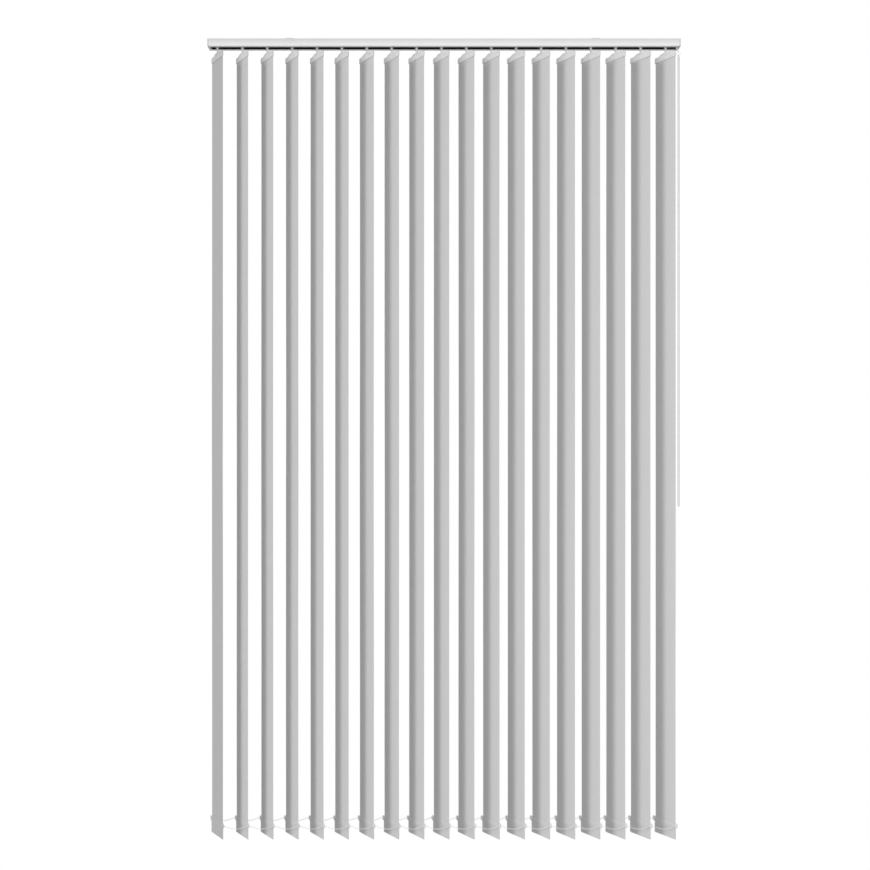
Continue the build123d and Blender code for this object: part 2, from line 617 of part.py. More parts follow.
def ear(reach):
    """One rounded ear of the weight, its tip at reach from the stem's axis."""
    side = 1 if reach > 0 else -1
    centre = reach - side * EAR_RADIUS
    hole = reach - side * EAR_HOLE_INSET
    thick = WEIGHT_THICKNESS / 2
    disc = rod_y(EAR_RADIUS, -thick, thick, centre, EAR_Z)
    inside = side * (VANE_WIDTH / 2 + CAP_CLEARANCE)
    disc -= block(*sorted((inside, inside - side * 20)), -5, 5, EAR_Z - 20, EAR_Z + 20)
    disc -= rod_y(EAR_HOLE_RADIUS, -5, 5, hole, EAR_Z)
    slit = EAR_SLIT / 2
    return disc - block(hole - slit, hole + slit, -5, 5, EAR_Z, EAR_Z + 20)


def weight():
    """The plate in the pocket, with an ear for a chain at each upper corner."""
    far = -VANE_WIDTH / 2 - WEIGHT_FAR_OVERHANG
    near = VANE_WIDTH / 2 + 2 * CAP_CLEARANCE
    thick = WEIGHT_THICKNESS / 2
    bottom = LOUVRE_BOTTOM + WEIGHT_LIFT
    plate = block(far, near, -thick, thick, bottom, bottom + WEIGHT_HEIGHT)
    for reach in (EAR_NEAR_REACH, -EAR_FAR_REACH):
        side = 1 if reach > 0 else -1
        hole = reach - side * EAR_HOLE_INSET
        plate -= rod_y(EAR_HOLE_RADIUS, -5, 5, hole, EAR_Z)
        plate += ear(reach)
    return plate


# ---------------------------------------------------------------- bead chains
def chain_route(x_offset, y):
    """The chain's points from the first ear to the last: one shallow sag in each span."""
    third = VANE_PITCH / 3
    drop = CHAIN_SAG * 1.29  # the tube's arcs pass inside the corners, so the points lie further apart
    lift = drop - CHAIN_SAG
    start = FIRST_VANE_X + x_offset
    points = [(start - CHAIN_END_TAIL, y, EAR_Z + 0.6)]
    for span in range(VANE_COUNT - 1):
        x = start + span * VANE_PITCH
        if span:
            points.append((x, y, EAR_Z + lift))
        points.append((x + third, y, EAR_Z - CHAIN_SAG))
        points.append((x + 2 * third, y, EAR_Z - CHAIN_SAG))
    points.append((start + (VANE_COUNT - 1) * VANE_PITCH + CHAIN_END_TAIL, y, EAR_Z + 0.6))
    return points


def chain(name, x_offset, y):
    """A chain as a plain tube: straight runs joined by tangent arcs."""
    points = [Vector(*point) for point in chain_route(x_offset, y)]
    radii = []
    for before, here, after in zip(points, points[1:], points[2:]):
        turn = math.radians((here - before).get_angle(after - here))
        shorter = min((here - before).length, (after - here).length)
        radii.append(0.45 * shorter / math.tan(turn / 2))
    print(name, "smallest bend radius", round(min(radii), 1))
    path = FilletPolyline(*points, radius=radii)
    section = Plane(origin=path @ 0, z_dir=path % 0) * Circle(CHAIN_DIAMETER / 2)
    tube = sweep(section, path=path)
    expected = math.pi * CHAIN_DIAMETER**2 / 4 * path.length
    print(name, "length", round(path.length, 1), "volume over section times length", round(tube.volume / expected, 4))
    return tube


save("headrail", headrail())
save("end_cap_left", end_cap(-1))
save("end_cap_right", end_cap(1))
save("bracket_left", bracket(-BRACKET_SPACING / 2))
save("bracket_right", bracket(BRACKET_SPACING / 2))
save("tilt_rod", tilt_rod())

stem_part = stem()
hanger_part = hanger()
louvre_part = louvre()
weight_part = weight()
for number in range(1, VANE_COUNT + 1):
    stem_x = FIRST_VANE_X + (number - 1) * VANE_PITCH
    place = Pos(stem_x, 0, 0) * Rot(0, 0, -VANE_ANGLE)
    save(f"vane_{number:02d}", place * stem_part, place * hanger_part, place * louvre_part, place * weight_part)
    if number < VANE_COUNT:
        save(f"carrier_{number:02d}", *carrier(stem_x, number))

save("lead_carrier", *lead_carrier())
save("lead_cover", lead_cover())
save("rod_gear", rod_gear())
save("spindle", spindle())
save("wand_ring", wand_ring())
save("wand_top", wand_top())
save("wand_rod", wand_rod())
save("wand_tip", wand_tip())

lean = math.radians(VANE_ANGLE)
near_hole = EAR_NEAR_REACH - EAR_HOLE_INSET
far_hole = EAR_FAR_REACH - EAR_HOLE_INSET
save("front_chain", chain("front_chain", near_hole * math.cos(lean), -near_hole * math.sin(lean)))
save("rear_chain", chain("rear_chain", -far_hole * math.cos(lean), far_hole * math.sin(lean)))
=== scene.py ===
import json
import math

import bmesh
import bpy
from mathutils import Matrix, Vector, noise


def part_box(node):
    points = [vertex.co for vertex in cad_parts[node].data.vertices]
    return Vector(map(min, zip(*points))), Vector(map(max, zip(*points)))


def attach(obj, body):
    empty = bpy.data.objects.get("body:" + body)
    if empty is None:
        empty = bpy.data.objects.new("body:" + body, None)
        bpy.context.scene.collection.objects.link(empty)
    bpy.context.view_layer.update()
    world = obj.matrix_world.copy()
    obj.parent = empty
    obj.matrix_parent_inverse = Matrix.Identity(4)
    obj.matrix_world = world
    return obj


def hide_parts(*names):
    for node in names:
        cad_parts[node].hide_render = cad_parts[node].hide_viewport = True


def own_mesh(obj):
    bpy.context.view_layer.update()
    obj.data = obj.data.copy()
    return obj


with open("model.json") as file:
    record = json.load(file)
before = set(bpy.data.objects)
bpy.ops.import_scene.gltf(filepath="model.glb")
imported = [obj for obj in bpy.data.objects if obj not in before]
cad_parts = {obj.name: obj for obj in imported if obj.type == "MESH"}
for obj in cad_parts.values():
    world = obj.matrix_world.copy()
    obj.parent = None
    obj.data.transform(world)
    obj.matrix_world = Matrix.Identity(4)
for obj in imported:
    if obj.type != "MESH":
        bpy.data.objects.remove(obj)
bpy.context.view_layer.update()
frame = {"nodes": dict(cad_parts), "record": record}

# Vertical blind. Metres, in the frame's own axes: X along the rail, the room on the -Y side, +Z up.
# A louvre's own axes: x along its width with the room-side edge at +x, y through it, z as in the frame.
MM = 0.001

# ---------------------------------------------------------------- sizes that repeat the construction's
VANE_COUNT = 19
VANE_ANGLE = math.radians(57.3)
VANE_HALF = 44.5 * MM
FABRIC_THICKNESS = 0.5 * MM
FABRIC_SLOT = 0.45 * MM  # half the gap in the hanger that takes the fabric
PAINTED_SHADOW_DROP = 2.6 * MM  # how far below the hanger the painted shadow under its edge reaches
HANGER_FAR = -47.5 * MM
HANGER_NEAR = 45.5 * MM
HANGER_HALF_THICKNESS = 1.3 * MM
CROWN_HALF = 12 * MM
SHOULDER_HALF = 36 * MM
CORNER_RUN = 5 * MM
CORNER_DROP = 4 * MM
WEB_HALF = 0.5 * MM
WEB_DEPTH = 7 * MM
BLADE_HALF = 3.8 * MM
PEG_RADIUS = 1.3 * MM
STEM_RADIUS = 2.5 * MM
WEIGHT_HALF_THICKNESS = 0.65 * MM
EAR_RADIUS = 8 * MM
EAR_NEAR_REACH = 54.5 * MM
EAR_FAR_REACH = 58.5 * MM
EAR_HOLE_INSET = 4.5 * MM
EAR_HOLE_RADIUS = 2.6 * MM
EAR_SLIT = 1.2 * MM
GEAR_TEETH = 16
GEAR_RADIUS = 4.3 * MM
GEAR_ROOT = 3.6 * MM
GEAR_HEIGHT = 7 * MM

# ---------------------------------------------------------------- bead chains
CHAIN_DIAMETER = 3 * MM
CHAIN_SAG = 9.5 * MM
CHAIN_KNEE = 0.29  # how far over an ear the spline's point stands, as a share of the sag
CHAIN_TAIL = 1.6 * MM
CORE_RADIUS = 0.45 * MM
BEADS_PER_SPAN = 14

# ---------------------------------------------------------------- levels and the channel, from the frame
rail_low, rail_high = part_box("headrail")
vane_low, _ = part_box("vane_01")
RAIL_BOTTOM = rail_low.z
LOUVRE_BOTTOM = vane_low.z
HANGER_TOP = RAIL_BOTTOM - 19.5 * MM
HANGER_BOTTOM = HANGER_TOP - 17 * MM
CROWN_TOP = HANGER_TOP + 6 * MM
LOUVRE_TOP = HANGER_BOTTOM + 12 * MM
POCKET_TOP = LOUVRE_BOTTOM + 48 * MM
WEIGHT_BOTTOM = LOUVRE_BOTTOM + 0.7 * MM
WEIGHT_TOP = WEIGHT_BOTTOM + 44 * MM
EAR_Z = LOUVRE_BOTTOM + 44 * MM
PEG_Z = CROWN_TOP - 3.5 * MM
CARRIER_FLOOR = RAIL_BOTTOM + 2.4 * MM
CHANNEL_MOUTH = RAIL_BOTTOM + 0.3 * MM
CHANNEL_TOP = rail_high.z - 4.6 * MM
CHANNEL_HALF = 20.76 * MM

# ---------------------------------------------------------------- camera and light
CAMERA_PLACE = (-0.0245, -3.675, -1.3627)
CAMERA_LENS = 47.73
CAMERA_SHIFT = 0.0368
SURROUND_STRENGTH = 0.47
KEY_PLACE = (-2.3, -1.95, 0.6)
KEY_TARGET = (0, 0, -0.2)
KEY_STRENGTH = 1.06
NETTED_KEY_STRENGTH = 0.48
KEY_SPREAD = math.radians(24)
FILL_PLACE = (0.9, -5.2, -1.0)
FILL_TARGET = (0, 0, -1.3)
FILL_SIZE = 3.0
FILL_POWER = 68
FLOOR_SIZE = 24
FLOOR_DROP = 0.13  # from the louvres' bottom edges to the floor
FLOOR_GREY = (0.62, 0.62, 0.62)
WHITE = (1, 1, 1, 1)


def stem_x(number):
    """The X of a louvre's turning axis: its box's middle, put right for the longer ear on the window side."""
    low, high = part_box(f"vane_{number:02d}")
    return (low.x + high.x) / 2 + (EAR_FAR_REACH - EAR_NEAR_REACH) / 2 * math.cos(VANE_ANGLE)


FIRST_STEM_X = stem_x(1)
PITCH = (stem_x(VANE_COUNT) - FIRST_STEM_X) / (VANE_COUNT - 1)


# ---------------------------------------------------------------- the studio
def make_camera():
    """A level camera, square to the rail, near the louvres' mid height."""
    data = bpy.data.cameras.new("camera")
    data.sensor_width = 36
    data.lens = CAMERA_LENS
    data.shift_y = CAMERA_SHIFT
    camera = bpy.data.objects.new("camera", data)
    camera.location = CAMERA_PLACE
    camera.rotation_euler = (math.pi / 2, 0, 0)
    bpy.context.scene.collection.objects.link(camera)
    bpy.context.scene.camera = camera


def add_light(name, kind, place, target, energy):
    """A light of one kind, aimed at a point: its data, for the settings of that kind."""
    data = bpy.data.lights.new(name, kind)
    data.energy = energy
    light = bpy.data.objects.new(name, data)
    light.location = place
    light.rotation_euler = (Vector(target) - light.location).to_track_quat("-Z", "Y").to_euler()
    bpy.context.scene.collection.objects.link(light)
    return data


def white_to_the_eye(nodes, links, lighting, seen, out):
    """Shows one shader, and lights the object with another: the bare white of a photographer's cove."""
    path = nodes.new("ShaderNodeLightPath")
    mix = nodes.new("ShaderNodeMixShader")
    links.new(path.outputs["Is Camera Ray"], mix.inputs[0])
    links.new(lighting.outputs[0], mix.inputs[1])
    links.new(seen.outputs[0], mix.inputs[2])
    links.new(mix.outputs[0], out.inputs[0])


def make_studio():
    """A white surround and floor, a soft key square to the louvres from the room's left, and a front fill."""
    scene = bpy.context.scene
    scene.view_settings.view_transform = "Standard"
    world = bpy.data.worlds.new("surround")
    scene.world = world
    world.use_nodes = True
    nodes = world.node_tree.nodes
    nodes.clear()
    out = nodes.new("ShaderNodeOutputWorld")
    lighting = nodes.new("ShaderNodeBackground")
    lighting.inputs["Strength"].default_value = SURROUND_STRENGTH
    lighting.inputs["Color"].default_value = WHITE
    seen = nodes.new("ShaderNodeBackground")
    seen.inputs["Color"].default_value = WHITE
    white_to_the_eye(nodes, world.node_tree.links, lighting, seen, out)

    key = add_light("key", "SUN", KEY_PLACE, KEY_TARGET, KEY_STRENGTH)
    key.angle = KEY_SPREAD
    fill = add_light("front_fill", "AREA", FILL_PLACE, FILL_TARGET, FILL_POWER)
    fill.shape = "DISK"
    fill.size = FILL_SIZE

    bpy.ops.mesh.primitive_plane_add(size=FLOOR_SIZE, location=(0, 0, LOUVRE_BOTTOM - FLOOR_DROP))
    floor = bpy.context.object
    floor.name = "floor"
    material, shader, nodes, links = new_material("studio_floor", FLOOR_GREY, 0.9)
    shader.inputs["Specular IOR Level"].default_value = 0.1
    seen = nodes.new("ShaderNodeEmission")
    white_to_the_eye(nodes, links, shader, seen, nodes["Material Output"])
    floor.data.materials.append(material)


# ---------------------------------------------------------------- materials
def new_material(name, colour, roughness):
    """A principled material: (material, its shader, its nodes, its links)."""
    material = bpy.data.materials.new(name)
    material.use_nodes = True
    nodes = material.node_tree.nodes
    shader = nodes["Principled BSDF"]
    shader.inputs["Base Color"].default_value = (*colour, 1)
    shader.inputs["Roughness"].default_value = roughness
    return material, shader, nodes, material.node_tree.links


def place_node(nodes, links, stretch=(1, 1, 1)):
    """Object coordinates, stretched: a large number makes the grain fine that way."""
    coordinates = nodes.new("ShaderNodeTexCoord")
    mapping = nodes.new("ShaderNodeMapping")
    mapping.inputs["Scale"].default_value = stretch
    links.new(coordinates.outputs["Object"], mapping.inputs["Vector"])
    return mapping.outputs["Vector"]


def split_place(nodes, links, place):
    """A place's X, Y and Z sockets."""
    split = nodes.new("ShaderNodeSeparateXYZ")
    links.new(place, split.inputs[0])
    return split.outputs["X"], split.outputs["Y"], split.outputs["Z"]


def noise_node(nodes, links, place, scale, detail=3.0):
    """Soft noise from about 0.3 to 0.7, with scale in cycles to a metre."""
    texture = nodes.new("ShaderNodeTexNoise")
    texture.inputs["Scale"].default_value = scale
    texture.inputs["Detail"].default_value = detail
    links.new(place, texture.inputs["Vector"])
    return texture.outputs["Fac"]


def maths(nodes, links, operation, first, second=None):
    """A Math node. Each input is a socket or a number."""
    node = nodes.new("ShaderNodeMath")
    node.operation = operation
    for socket, value in zip(node.inputs, (first, second)):
        if isinstance(value, (int, float)):
            socket.default_value = value
        elif value is not None:
            links.new(value, socket)
    return node.outputs[0]


def between(nodes, links, value, low, high):
    """A number's share of the way from low to high, kept from 0 to 1."""
    node = nodes.new("ShaderNodeMapRange")
    node.inputs["From Min"].default_value = low
    node.inputs["From Max"].default_value = high
    links.new(value, node.inputs["Value"])
    return node.outputs["Result"]


def blend_colour(nodes, links, share, first, second):
    """A colour from first to second. Each is a colour or a socket."""
    node = nodes.new("ShaderNodeMix")
    node.data_type = "RGBA"
    links.new(share, node.inputs["Factor"])
    sockets = [s for s in node.inputs if s.type == "RGBA"]
    for socket, colour in zip(sockets, (first, second)):
        if isinstance(colour, tuple):
            socket.default_value = (*colour, 1)
        else:
            links.new(colour, socket)
    return [s for s in node.outputs if s.type == "RGBA"][0]


def bump(nodes, links, shader, height, distance, strength):
    """Raises the shader's surface by a height texture, over a distance in metres."""
    node = nodes.new("ShaderNodeBump")
    node.inputs["Distance"].default_value = distance
    node.inputs["Strength"].default_value = strength
    links.new(height, node.inputs["Height"])
    links.new(node.outputs["Normal"], shader.inputs["Normal"])


def rail_paint():
    """Satin powder coat over an extrusion: orange peel, faint draw lines, soft clouds of tone, painted light
    that grades it from darker at the top to lighter at the bottom, and painted shade that makes the channel's
    inside near-black.
    """
    material, shader, nodes, links = new_material("rail_paint", (0.78, 0.78, 0.78), 0.42)
    place = place_node(nodes, links)
    cloud = noise_node(nodes, links, place, 14)
    _, y, z = split_place(nodes, links, place)
    # painted light: the paint grades from darker at the rail's top to lighter at its bottom, with soft clouds
    # of tone on top of that
    depth = between(nodes, links, z, rail_high.z, rail_low.z)
    cloud_and_painted_light = maths(nodes, links, "ADD", maths(nodes, links, "MULTIPLY", cloud, 0.25), depth)
    white = blend_colour(nodes, links, cloud_and_painted_light, (0.71, 0.71, 0.71), (0.96, 0.96, 0.96))
    # painted shade: inside the channel the paint is near-black, standing in for the shade in there
    inside = maths(nodes, links, "LESS_THAN", maths(nodes, links, "ABSOLUTE", y), CHANNEL_HALF)
    below = maths(nodes, links, "LESS_THAN", z, CHANNEL_TOP)
    above = maths(nodes, links, "GREATER_THAN", z, CHANNEL_MOUTH)
    channel = maths(nodes, links, "MULTIPLY", inside, maths(nodes, links, "MULTIPLY", below, above))
    colour = blend_colour(nodes, links, channel, white, (0.018, 0.018, 0.019))
    links.new(colour, shader.inputs["Base Color"])
    peel = noise_node(nodes, links, place, 1400, 2.0)
    draw = noise_node(nodes, links, place_node(nodes, links, (3, 900, 900)), 1.0, 2.0)
    height = maths(nodes, links, "ADD", peel, maths(nodes, links, "MULTIPLY", draw, 0.6))
    bump(nodes, links, shader, height, 0.02 * MM, 0.5)
    rough = between(nodes, links, cloud, -1.5, 3.0)
    links.new(rough, shader.inputs["Roughness"])
    return material


def moulded_plastic(name, light, dark, roughness, grain=900, depth=0.02):
    """Moulded plastic: two close tones in soft clouds, and a fine spark-eroded grain."""
    material, shader, nodes, links = new_material(name, light, roughness)
    place = place_node(nodes, links)
    cloud = noise_node(nodes, links, place, 60)
    colour = blend_colour(nodes, links, between(nodes, links, cloud, 0.35, 0.65), dark, light)
    links.new(colour, shader.inputs["Base Color"])
    links.new(between(nodes, links, cloud, -roughness * 3, 4 - roughness * 3), shader.inputs["Roughness"])
    bump(nodes, links, shader, noise_node(nodes, links, place, grain, 2.0), depth * MM, 0.5)
    return material


def carrier_plastic():
    """Near-black moulded plastic, its black standing in for the shade in the rail's slot, with a white bush
    where the stem comes out under the carrier.
    """
    material, shader, nodes, links = new_material("carrier_plastic", (0.05, 0.05, 0.05), 0.5)
    place = place_node(nodes, links)
    cloud = between(nodes, links, noise_node(nodes, links, place, 60), 0.35, 0.65)
    # painted shade: the carrier is near-black so that the rail's slot reads as shaded
    painted_shade_black = blend_colour(nodes, links, cloud, (0.042, 0.042, 0.044), (0.05, 0.05, 0.052))
    _, _, z = split_place(nodes, links, place)
    bush = maths(nodes, links, "LESS_THAN", z, CARRIER_FLOOR)
    colour = blend_colour(nodes, links, bush, painted_shade_black, (0.86, 0.86, 0.86))
    links.new(colour, shader.inputs["Base Color"])
    bump(nodes, links, shader, noise_node(nodes, links, place, 900, 2.0), 0.02 * MM, 0.5)
    return material


def coated_steel():
    """Pressed strip with a thin white coat, worn to grey in fine scratches."""
    material, shader, nodes, links = new_material("bracket_steel", (0.74, 0.74, 0.74), 0.4)
    scratch = noise_node(nodes, links, place_node(nodes, links, (40, 900, 900)), 1.0, 6.0)
    worn = between(nodes, links, scratch, 0.62, 0.7)
    colour = blend_colour(nodes, links, worn, (0.75, 0.75, 0.75), (0.42, 0.42, 0.43))
    links.new(colour, shader.inputs["Base Color"])
    links.new(maths(nodes, links, "MULTIPLY", worn, 0.8), shader.inputs["Metallic"])
    bump(nodes, links, shader, scratch, 0.03 * MM, 0.6)
    return material


def drawn_metal(name, colour, roughness):
    """Bare metal with draw lines along X."""
    material, shader, nodes, links = new_material(name, colour, roughness)
    shader.inputs["Metallic"].default_value = 1.0
    lines = noise_node(nodes, links, place_node(nodes, links, (6, 1500, 1500)), 1.0, 4.0)
    links.new(between(nodes, links, lines, -1.2, 3.0), shader.inputs["Roughness"])
    bump(nodes, links, shader, lines, 0.02 * MM, 0.5)
    return material


def fabric():
    """A plain weave with uneven threads, stiffened, in a neutral white, with a painted shadow just under the
    hanger's edge.
    """
    material, shader, nodes, links = new_material("louvre_fabric", (0.7, 0.7, 0.7), 0.85)
    shader.inputs["Sheen Weight"].default_value = 0.12
    shader.inputs["Sheen Roughness"].default_value = 0.6
    shader.inputs["Specular IOR Level"].default_value = 0.25
    place = place_node(nodes, links)
    x, _, z = split_place(nodes, links, place)
    wander = noise_node(nodes, links, place, 55, 2.0)
    warp_pitch = 0.75 * MM
    weft_pitch = 0.95 * MM
    phase = maths(nodes, links, "MULTIPLY", wander, 2.2)
    warp = maths(nodes, links, "MULTIPLY", x, 2 * math.pi / warp_pitch)
    weft = maths(nodes, links, "MULTIPLY", z, 2 * math.pi / weft_pitch)
    warp = maths(nodes, links, "SINE", maths(nodes, links, "ADD", warp, phase))
    weft = maths(nodes, links, "SINE", maths(nodes, links, "ADD", weft, phase))
    over = maths(nodes, links, "MULTIPLY", warp, weft)
    slub = noise_node(nodes, links, place_node(nodes, links, (28, 1, 900)), 1.0, 3.0)
    thread = noise_node(nodes, links, place_node(nodes, links, (1100, 1, 30)), 1.0, 2.0)
    height = maths(nodes, links, "ADD", maths(nodes, links, "MULTIPLY", over, 0.5), slub)
    height = maths(nodes, links, "ADD", height, maths(nodes, links, "MULTIPLY", thread, 0.7))
    tone = between(nodes, links, height, -0.2, 2.0)
    colour = blend_colour(nodes, links, tone, (0.655, 0.655, 0.655), (0.745, 0.745, 0.745))
    # painted shadow: a darker band in the fabric just under the hanger's lower edge, fully dark from a little
    # below the edge upwards
    painted_hanger_shadow = between(nodes, links, z, HANGER_BOTTOM - PAINTED_SHADOW_DROP, HANGER_BOTTOM - PAINTED_SHADOW_DROP / 3)
    colour = blend_colour(nodes, links, painted_hanger_shadow, colour, (0.52, 0.52, 0.52))
    links.new(colour, shader.inputs["Base Color"])
    bump(nodes, links, shader, height, 0.09 * MM, 0.7)
    return material


def dress_frame(materials):
    """Every CAD piece that shows takes the finish of its material slot."""
    slots = {row["node"]: row["material_slot"] for row in frame["record"]["subparts"]}
    for name, node in frame["nodes"].items():
        finish = materials[slots[name]]
        node.data.materials.clear()
        node.data.materials.append(finish)


# ---------------------------------------------------------------- mesh tools
def link_mesh(name, mesh):
    """An object in the scene from a mesh."""
    piece = bpy.data.objects.new(name, mesh)
    bpy.context.scene.collection.objects.link(piece)
    return piece


def shade_smooth(mesh, sharp_degrees):
    """Smooth shading, except over edges that turn by more than an angle."""
    mesh.polygons.foreach_set("use_smooth", [True] * len(mesh.polygons))
    mesh.set_sharp_from_angle(angle=math.radians(sharp_degrees))


def box_shell(shell, x, y, z):
    """Adds a box to a bmesh, from its ends along each axis."""
    size = Vector((x[1] - x[0], y[1] - y[0], z[1] - z[0]))
    middle = Vector((sum(x) / 2, sum(y) / 2, sum(z) / 2))
    matrix = Matrix.Translation(middle) @ Matrix.Diagonal((*size, 1))
    bmesh.ops.create_cube(shell, size=1, matrix=matrix)


def bar_shell(shell, radius, start, end, segments=32):
    """Adds a round bar to a bmesh, between two points."""
    start = Vector(start)
    end = Vector(end)
    turn = (end - start).to_track_quat("Z", "Y").to_matrix().to_4x4()
    matrix = Matrix.Translation((start + end) / 2) @ turn
    length = (end - start).length
    bmesh.ops.create_cone(
        shell, cap_ends=True, segments=segments, radius1=radius, radius2=radius, depth=length, matrix=matrix
    )


def outline_shell(shell, outline, half):
    """Adds a plate to a bmesh: an outline of (x, z) points, from y = -half to half."""
    front = [shell.verts.new((x, -half, z)) for x, z in outline]
    back = [shell.verts.new((x, half, z)) for x, z in outline]
    shell.faces.new(front)
    shell.faces.new(reversed(back))
    for index in range(len(outline)):
        after = (index + 1) % len(outline)
        shell.faces.new((front[after], front[index], back[index], back[after]))


def shell_object(name, build):
    """A mesh object from a function that fills a bmesh."""
    shell = bmesh.new()
    build(shell)
    bmesh.ops.recalc_face_normals(shell, faces=shell.faces)
    mesh = bpy.data.meshes.new(name)
    shell.to_mesh(mesh)
    shell.free()
    return link_mesh(name, mesh)


def baked(piece):
    """The piece's mesh with its modifiers applied."""
    depsgraph = bpy.context.evaluated_depsgraph_get()
    return bpy.data.meshes.new_from_object(piece.evaluated_get(depsgraph))


def solid(name, parts, cuts, bevel):
    """One closed mesh: the parts joined, the cuts taken out, and its edges rounded."""
    base = shell_object(name, parts[0])
    helpers = []
    for kind, builds in (("UNION", parts[1:]), ("DIFFERENCE", cuts)):
        for build in builds:
            helper = shell_object(name + "_helper", build)
            modifier = base.modifiers.new(kind, "BOOLEAN")
            modifier.operation = kind
            modifier.solver = "EXACT"
            modifier.object = helper
            helpers.append(helper)
    rounding = base.modifiers.new("rounding", "BEVEL")
    rounding.width = bevel
    rounding.segments = 2
    rounding.limit_method = "ANGLE"
    rounding.angle_limit = math.radians(40)
    mesh = baked(base)
    for helper in [base, *helpers]:
        bpy.data.objects.remove(helper)
    shade_smooth(mesh, 35)
    return mesh


# ---------------------------------------------------------------- louvre hardware, in a louvre's own axes
def rounded(corner, before, after, radius, steps=4):
    """Points that round one corner of an outline."""
    corner, before, after = Vector(corner), Vector(before), Vector(after)
    start = corner + (before - corner).normalized() * radius
    end = corner + (after - corner).normalized() * radius
    points = []
    for step in range(steps + 1):
        t = step / steps
        points.append(start * (1 - t) ** 2 + corner * 2 * t * (1 - t) + end * t**2)
    return [(p.x, p.y) for p in points]


def hanger_outline():
    """The clip's outline: rounded ends and a crown that rises in a soft arch."""
    rise = CROWN_TOP - HANGER_TOP
    arch = []
    steps = 10
    for step in range(steps + 1):
        share = step / steps
        x = SHOULDER_HALF + (CROWN_HALF - SHOULDER_HALF) * share
        arch.append((x, HANGER_TOP + rise * (0.5 - 0.5 * math.cos(math.pi * share))))
    low_left = (HANGER_FAR, HANGER_BOTTOM)
    low_right = (HANGER_NEAR, HANGER_BOTTOM)
    cut_low = (HANGER_NEAR, HANGER_TOP - CORNER_DROP)
    cut_high = (HANGER_NEAR - CORNER_RUN, HANGER_TOP)
    high_left = (HANGER_FAR, HANGER_TOP)
    outline = rounded(low_left, high_left, low_right, 1.0 * MM)
    outline += rounded(low_right, low_left, cut_low, 1.0 * MM)
    outline += rounded(cut_low, low_right, cut_high, 1.5 * MM)
    outline += rounded(cut_high, cut_low, (SHOULDER_HALF, HANGER_TOP), 1.5 * MM)
    outline += arch
    outline += [(-x, z) for x, z in reversed(arch)]
    outline += rounded(high_left, (-SHOULDER_HALF, HANGER_TOP), low_left, 2.5 * MM)
    return outline


def hanger_mesh():
    """The clip: ribbed panels on both faces, the slot for the fabric, and a thin web with the peg's hole."""
    thick = HANGER_HALF_THICKNESS
    panel_depth = 0.35 * MM
    panel_low = HANGER_BOTTOM + 3.2 * MM
    panel_top = HANGER_TOP - 2.6 * MM
    crown_panels = 25  # millimetres: nearer than this to the middle, a panel is taller
    crown_panel_rise = 3 * MM
    # millimetres along the louvre, each panel's two ends
    panel_edges = [(-45.2, -36.2), (-34.8, -25.8), (-24.4, -15.4), (-14.0, -5.6), (5.6, 14.0)]
    panel_edges += [(15.4, 24.4), (25.8, 34.8), (36.2, 41.4)]

    def plate(shell):
        outline_shell(shell, hanger_outline(), thick)

    def panels(shell):
        for left, right in panel_edges:
            top = panel_top
            if max(abs(left), abs(right)) < crown_panels:
                top += crown_panel_rise
            for side in (-1, 1):
                faces = sorted((side * (thick - panel_depth), side * 2 * thick))
                box_shell(shell, (left * MM, right * MM), faces, (panel_low, top))

    def slot(shell):
        box_shell(
            shell,
            (HANGER_FAR - MM, HANGER_NEAR + MM),
            (-FABRIC_SLOT, FABRIC_SLOT),
            (HANGER_BOTTOM - MM, LOUVRE_TOP + 0.3 * MM),
        )

    def windows(shell):
        half = BLADE_HALF + 0.15 * MM
        for side in (-1, 1):
            faces = sorted((side * WEB_HALF, side * 2 * thick))
            box_shell(shell, (-half, half), faces, (CROWN_TOP - WEB_DEPTH, CROWN_TOP + MM))

    def peg_hole(shell):
        bar_shell(shell, PEG_RADIUS + 0.3 * MM, (0, -2 * thick, PEG_Z), (0, 2 * thick, PEG_Z), 24)

    return solid("hanger", [plate], [panels, slot, windows, peg_hole], 0.2 * MM)


